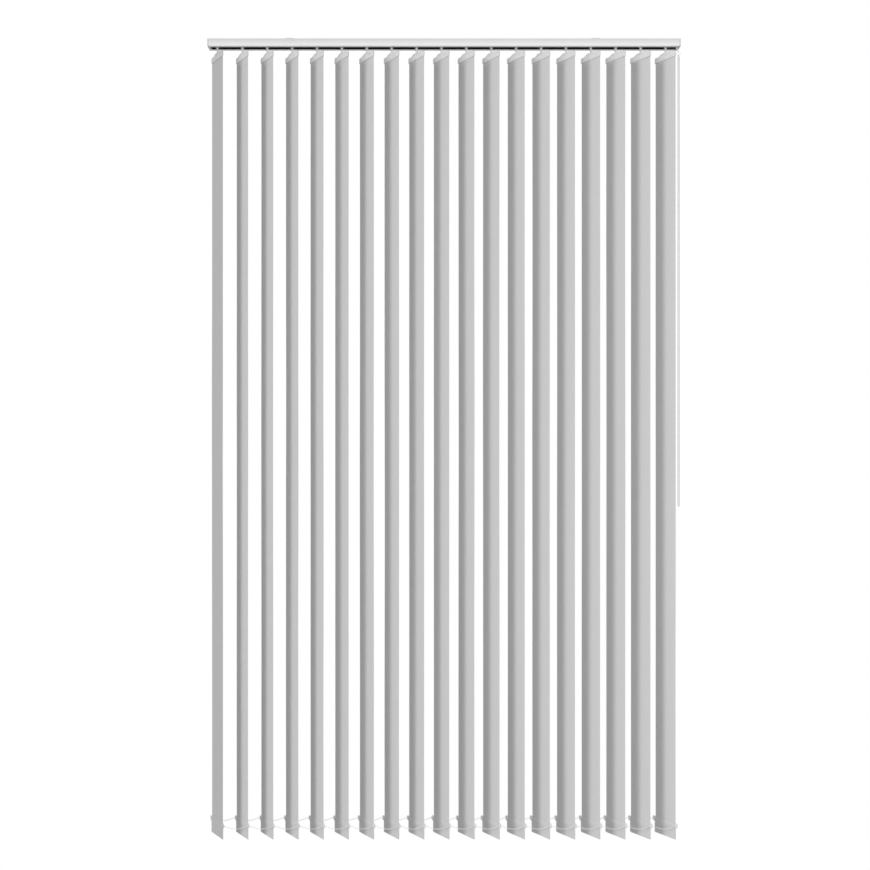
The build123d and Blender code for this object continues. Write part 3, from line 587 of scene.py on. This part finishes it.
def stem_mesh():
    """Worm wheel, shaft and flat blade, forked below to straddle the hanger's web, with the peg across."""
    thick = HANGER_HALF_THICKNESS
    blade_top = RAIL_BOTTOM - 2.6 * MM
    blade_low = CROWN_TOP - WEB_DEPTH + 0.3 * MM
    gear_low = rail_high.z - 16 * MM
    gear_high = gear_low + GEAR_HEIGHT

    def blade(shell):
        left_low, right_low = (-BLADE_HALF, blade_low), (BLADE_HALF, blade_low)
        right_high, left_high = (BLADE_HALF, blade_top), (-BLADE_HALF, blade_top)
        outline = rounded(left_low, left_high, right_low, 1.6 * MM)
        outline += rounded(right_low, left_low, right_high, 1.6 * MM)
        outline += rounded(right_high, right_low, left_high, 1.2 * MM)
        outline += rounded(left_high, right_high, left_low, 1.2 * MM)
        outline_shell(shell, outline, thick)

    def shaft(shell):
        bar_shell(shell, STEM_RADIUS, (0, 0, blade_top - 1.5 * MM), (0, 0, gear_low + 0.5 * MM))

    def gear(shell):
        rings = ([], [])
        tooth_profile = ((-0.32, GEAR_ROOT), (-0.16, GEAR_RADIUS), (0.16, GEAR_RADIUS), (0.32, GEAR_ROOT))
        for tooth in range(GEAR_TEETH):
            for part, radius in tooth_profile:
                turn = (tooth + part) * 2 * math.pi / GEAR_TEETH
                x = radius * math.cos(turn)
                y = radius * math.sin(turn)
                for ring, z in zip(rings, (gear_low, gear_high)):
                    ring.append(shell.verts.new((x, y, z)))
        low, high = rings
        shell.faces.new(reversed(low))
        shell.faces.new(high)
        for index in range(len(low)):
            after = (index + 1) % len(low)
            shell.faces.new((low[index], low[after], high[after], high[index]))

    def fork(shell):
        gap = WEB_HALF + 0.075 * MM
        levels = (blade_low - MM, CROWN_TOP + 0.15 * MM)
        box_shell(shell, (-2 * BLADE_HALF, 2 * BLADE_HALF), (-gap, gap), levels)

    def grooves(shell):
        for side in (-1, 1):
            faces = sorted((side * (thick - 0.3 * MM), side * 2 * thick))
            box_shell(shell, (-1.4 * MM, 1.4 * MM), faces, (CROWN_TOP + 1.2 * MM, blade_top - 1.6 * MM))

    forked = solid("stem_blade", [blade, shaft, gear], [fork, grooves], 0.18 * MM)

    def with_peg(shell):
        shell.from_mesh(forked)
        bar_shell(shell, PEG_RADIUS, (0, -thick, PEG_Z), (0, thick, PEG_Z), 24)

    piece = shell_object("stem", with_peg)
    mesh = piece.data
    bpy.data.objects.remove(piece)
    shade_smooth(mesh, 35)
    return mesh


def weight_mesh():
    """The plate in the pocket, with a slit and holed ear for a chain at each upper corner."""
    thick = WEIGHT_HALF_THICKNESS
    edge = VANE_HALF + 0.15 * MM
    ears = ((1, EAR_NEAR_REACH), (-1, EAR_FAR_REACH))

    def plate(shell):
        left, right = -VANE_HALF - 4 * MM, VANE_HALF + 0.3 * MM
        low_left, low_right = (left, WEIGHT_BOTTOM), (right, WEIGHT_BOTTOM)
        high_right, high_left = (right, WEIGHT_TOP), (left, WEIGHT_TOP)
        outline = rounded(low_left, high_left, low_right, 1.5 * MM)
        outline += [low_right, high_right, high_left]
        outline_shell(shell, outline, thick)

    def ear(side, reach):
        centre = side * (reach - EAR_RADIUS)
        inner = side * edge
        half_span = math.sqrt(EAR_RADIUS**2 - (inner - centre) ** 2)
        first = math.atan2(-half_span, side * (inner - centre))

        def build(shell):
            outline = []
            steps = 20
            for step in range(steps + 1):
                turn = first + (-2 * first) * step / steps
                x = centre + side * EAR_RADIUS * math.cos(turn)
                outline.append((x, EAR_Z + EAR_RADIUS * math.sin(turn)))
            root = side * (edge - 0.4 * MM)
            outline += [(root, EAR_Z + half_span), (root, EAR_Z - half_span)]
            outline_shell(shell, outline, thick)

        return build

    def holes(shell):
        for side, reach in ears:
            x = side * (reach - EAR_HOLE_INSET)
            bar_shell(shell, EAR_HOLE_RADIUS, (x, -5 * MM, EAR_Z), (x, 5 * MM, EAR_Z), 28)

    def slits(shell):
        for side, reach in ears:
            x = side * (reach - EAR_HOLE_INSET)
            half = EAR_SLIT / 2
            box_shell(shell, (x - half, x + half), (-5 * MM, 5 * MM), (EAR_Z, EAR_Z + 20 * MM))

    parts = [plate, *[ear(side, reach) for side, reach in ears]]
    return solid("weight", parts, [holes, slits], 0.2 * MM)


# ---------------------------------------------------------------- louvre fabric
def pocket_path():
    """The strip's line in (y, z): from the hanger down, round the bottom fold, and up behind the weight."""
    layer = (WEIGHT_HALF_THICKNESS + 0.15 * MM) + FABRIC_THICKNESS / 2
    fold = LOUVRE_BOTTOM + layer + FABRIC_THICKNESS / 2
    line = []
    rows = 46
    start, end = LOUVRE_TOP, POCKET_TOP + 7 * MM
    for row in range(rows + 1):
        line.append((0.0, start + (end - start) * row / rows))
    for top in (1.2, 3.6):  # the two pressed weld lines
        for drop, y in ((0.0, 0.0), (0.4, 0.16), (1.0, 0.16), (1.4, 0.0)):
            line.append((y * MM, end - (top + drop) * MM))
    for drop, share in ((6.4, 0.05), (8.0, 0.25), (10.0, 0.6), (12.0, 0.86), (14.5, 0.97)):
        line.append((-layer * share, end - drop * MM))
    low = end - 14.5 * MM
    for step in range(1, 6):
        line.append((-layer, low + (fold - low) * step / 5))
    for step in range(1, 9):
        turn = math.pi * step / 8
        line.append((-layer * math.cos(turn), fold - layer * math.sin(turn)))
    for step in range(1, 6):
        line.append((layer, fold + (low - fold) * step / 5))
    for drop, share in ((12.0, 0.9), (10.0, 0.72), (8.0, 0.58), (6.4, 0.54)):
        line.append((layer * share, end - drop * MM))
    for drop in (5.0, 2.4, 1.0):  # welded flat on the front layer
        line.append((layer * 0.52, end - drop * MM))
    return line


def louvre_mesh(number):
    """One strip: nearly flat, with a slight camber and a slow wander of its own."""
    columns = 14
    line = pocket_path()
    span = LOUVRE_TOP - POCKET_TOP
    verts, faces = [], []
    for y, z in line:
        share = min(1.0, max(0.0, (LOUVRE_TOP - z) / span))
        free = math.sin(math.pi * share)  # held flat by the hanger and by the weight
        wander = noise.noise(Vector((number * 7.3, z * 1.1, 0.0))) * 1.1 * MM * free
        camber = noise.noise(Vector((number * 3.1, z * 0.8, 5.0))) * 0.7 * MM * free
        curl = noise.noise(Vector((number * 5.7, z * 2.3, 9.0))) * 0.5 * MM * free
        for column in range(columns + 1):
            across = 2 * column / columns - 1
            shift = wander + camber * (1 - across**2) + curl * across
            verts.append((across * VANE_HALF, y + shift, z))
    width = columns + 1
    for row in range(len(line) - 1):
        for column in range(columns):
            corner = row * width + column
            faces.append((corner, corner + 1, corner + width + 1, corner + width))
    mesh = bpy.data.meshes.new(f"louvre_{number:02d}")
    mesh.from_pydata(verts, [], faces)
    piece = link_mesh(f"louvre_{number:02d}", mesh)
    cloth = piece.modifiers.new("cloth", "SOLIDIFY")
    cloth.thickness = FABRIC_THICKNESS
    cloth.offset = 0.0
    cloth.use_even_offset = True
    solid_mesh = baked(piece)
    bpy.data.objects.remove(piece)
    solid_mesh.name = f"louvre_{number:02d}"
    shade_smooth(solid_mesh, 50)
    return solid_mesh


def shade_from_key(pieces):
    """Swaps the key on some pieces for a weaker one, as a net beside the lamp does."""
    key = bpy.data.objects["key"]
    weak = bpy.data.objects.new("key_through_net", key.data.copy())
    weak.data.energy = NETTED_KEY_STRENGTH
    weak.location = key.location
    weak.rotation_euler = key.rotation_euler
    bpy.context.scene.collection.objects.link(weak)
    for light, state in ((key, "EXCLUDE"), (weak, "INCLUDE")):
        shaded = bpy.data.collections.new(light.name + "_pieces")
        light.light_linking.receiver_collection = shaded
        for piece in pieces:
            shaded.objects.link(piece)
        for entry in shaded.collection_objects:
            entry.light_linking.link_state = state


def make_louvres(materials):
    """The 19 louvres: fabric, hanger, stem and weight, each louvre turned about its own stem."""
    shared = {
        "hanger": (hanger_mesh(), "hanger_plastic"),
        "stem": (stem_mesh(), "stem_plastic"),
        "weight": (weight_mesh(), "hanger_plastic"),
    }
    for mesh, finish in shared.values():
        mesh.materials.clear()
        mesh.materials.append(materials[finish])
    for number in range(1, VANE_COUNT + 1):
        node = f"vane_{number:02d}"
        place = Matrix.Translation((stem_x(number), 0, 0)) @ Matrix.Rotation(-VANE_ANGLE, 4, "Z")
        made = {}
        for name, (mesh, _) in shared.items():
            made[name] = link_mesh(f"{name}_{number:02d}", mesh)
            made[name].matrix_world = place
        mesh = louvre_mesh(number)
        mesh.materials.append(materials["louvre_fabric"])
        louvre = link_mesh(f"louvre_{number:02d}", mesh)
        louvre.matrix_world = place
        for piece in [louvre, *made.values()]:
            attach(piece, node)
            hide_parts(node)
        if number == 1:
            shade_from_key([louvre, *made.values()])


# ---------------------------------------------------------------- bead chains
def chain_route(x_offset, y):
    """The chain's control points: one shallow sag from ear to ear."""
    third = PITCH / 3
    low = EAR_Z - CHAIN_SAG
    knee = EAR_Z + CHAIN_SAG * CHAIN_KNEE
    end_z = EAR_Z + 0.6 * MM
    start = FIRST_STEM_X + x_offset
    points = [(start - CHAIN_TAIL, y, end_z)]
    for span in range(VANE_COUNT - 1):
        x = start + span * PITCH
        if span:
            points.append((x, y, knee))
        points.append((x + third, y, low))
        points.append((x + 2 * third, y, low))
    points.append((start + (VANE_COUNT - 1) * PITCH + CHAIN_TAIL, y, end_z))
    return points


def smooth_line(points):
    """Points along the smooth line that the control points give."""
    curve = bpy.data.curves.new("route", "CURVE")
    curve.dimensions = "3D"
    spline = curve.splines.new("NURBS")
    spline.points.add(len(points) - 1)
    for control, point in zip(spline.points, points):
        control.co = (*point, 1)
    spline.order_u = 3
    spline.use_endpoint_u = True
    carrier = link_mesh("route", curve)
    mesh = bpy.data.meshes.new_from_object(carrier)
    line = [vertex.co.copy() for vertex in mesh.vertices]
    bpy.data.objects.remove(carrier)
    bpy.data.meshes.remove(mesh)
    return line


def at_x(line, x):
    """The point of a left-to-right line at a given X."""
    for before, after in zip(line, line[1:]):
        if after.x >= x:
            share = (x - before.x) / max(after.x - before.x, 1e-9)
            return before.lerp(after, min(1.0, max(0.0, share)))
    return line[-1].copy()


def beads_mesh(name, beads):
    """One round bead at each point, and a thin core through them all."""
    ball = bmesh.new()
    bmesh.ops.create_uvsphere(ball, u_segments=14, v_segments=9, radius=CHAIN_DIAMETER / 2)
    ball.verts.index_update()
    ball_verts = [vert.co.copy() for vert in ball.verts]
    ball_faces = [[vert.index for vert in face.verts] for face in ball.faces]
    ball.free()
    verts, faces = [], []
    for bead in beads:
        first = len(verts)
        verts += [bead + co for co in ball_verts]
        faces += [[first + index for index in face] for face in ball_faces]
    sides = 8
    core = len(verts)
    for bead in beads:
        for side in range(sides):
            turn = 2 * math.pi * side / sides
            verts.append(bead + CORE_RADIUS * Vector((0, math.cos(turn), math.sin(turn))))
    for ring in range(len(beads) - 1):
        for side in range(sides):
            here = core + ring * sides
            after = (side + 1) % sides
            faces.append([here + side, here + after, here + sides + after, here + sides + side])
    faces.append([core + side for side in reversed(range(sides))])
    faces.append([len(verts) - sides + side for side in range(sides)])
    mesh = bpy.data.meshes.new(name)
    mesh.from_pydata(verts, [], faces)
    return mesh


def make_chain(name, side, material):
    """A bead chain on one side of the louvres: round beads on a thin core."""
    if side > 0:
        reach = EAR_NEAR_REACH - EAR_HOLE_INSET
    else:
        reach = -(EAR_FAR_REACH - EAR_HOLE_INSET)
    x_offset = reach * math.cos(VANE_ANGLE)
    y = -reach * math.sin(VANE_ANGLE)
    route = chain_route(x_offset, y)
    line = smooth_line(route)
    start = FIRST_STEM_X + x_offset
    beads = [line[0]]
    for bead in range(BEADS_PER_SPAN * (VANE_COUNT - 1)):
        beads.append(at_x(line, start + (bead + 0.5) * PITCH / BEADS_PER_SPAN))
    beads.append(line[-1])
    mesh = beads_mesh(name + "_beads", beads)
    mesh.materials.append(material)
    shade_smooth(mesh, 60)
    piece = link_mesh(name + "_beads", mesh)
    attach(piece, name)
    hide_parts(name)
    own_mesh(piece)


# ---------------------------------------------------------------- the scene
make_camera()
make_studio()
finishes = {
    "rail_paint": rail_paint(),
    "cap_plastic": moulded_plastic("cap_plastic", (0.72, 0.72, 0.72), (0.69, 0.69, 0.69), 0.45),
    "bracket_steel": coated_steel(),
    "rod_aluminium": drawn_metal("rod_aluminium", (0.62, 0.62, 0.64), 0.35),
    "carrier_plastic": carrier_plastic(),
    "louvre_fabric": fabric(),
    "ring_wire": moulded_plastic("ring_wire", (0.7, 0.7, 0.7), (0.66, 0.66, 0.66), 0.35),
    "wand_plastic": moulded_plastic("wand_plastic", (0.8, 0.8, 0.8), (0.785, 0.785, 0.785), 0.25, 300, 0.01),
    "chain_beads": moulded_plastic("chain_beads", (0.95, 0.95, 0.95), (0.92, 0.92, 0.92), 0.3),
    "hanger_plastic": moulded_plastic("hanger_plastic", (0.86, 0.86, 0.86), (0.83, 0.83, 0.83), 0.38),
    "stem_plastic": moulded_plastic("stem_plastic", (0.95, 0.95, 0.95), (0.92, 0.92, 0.92), 0.3),
}
make_chain("front_chain", 1, finishes["chain_beads"])
make_chain("rear_chain", -1, finishes["chain_beads"])
make_louvres(finishes)
dress_frame(finishes)
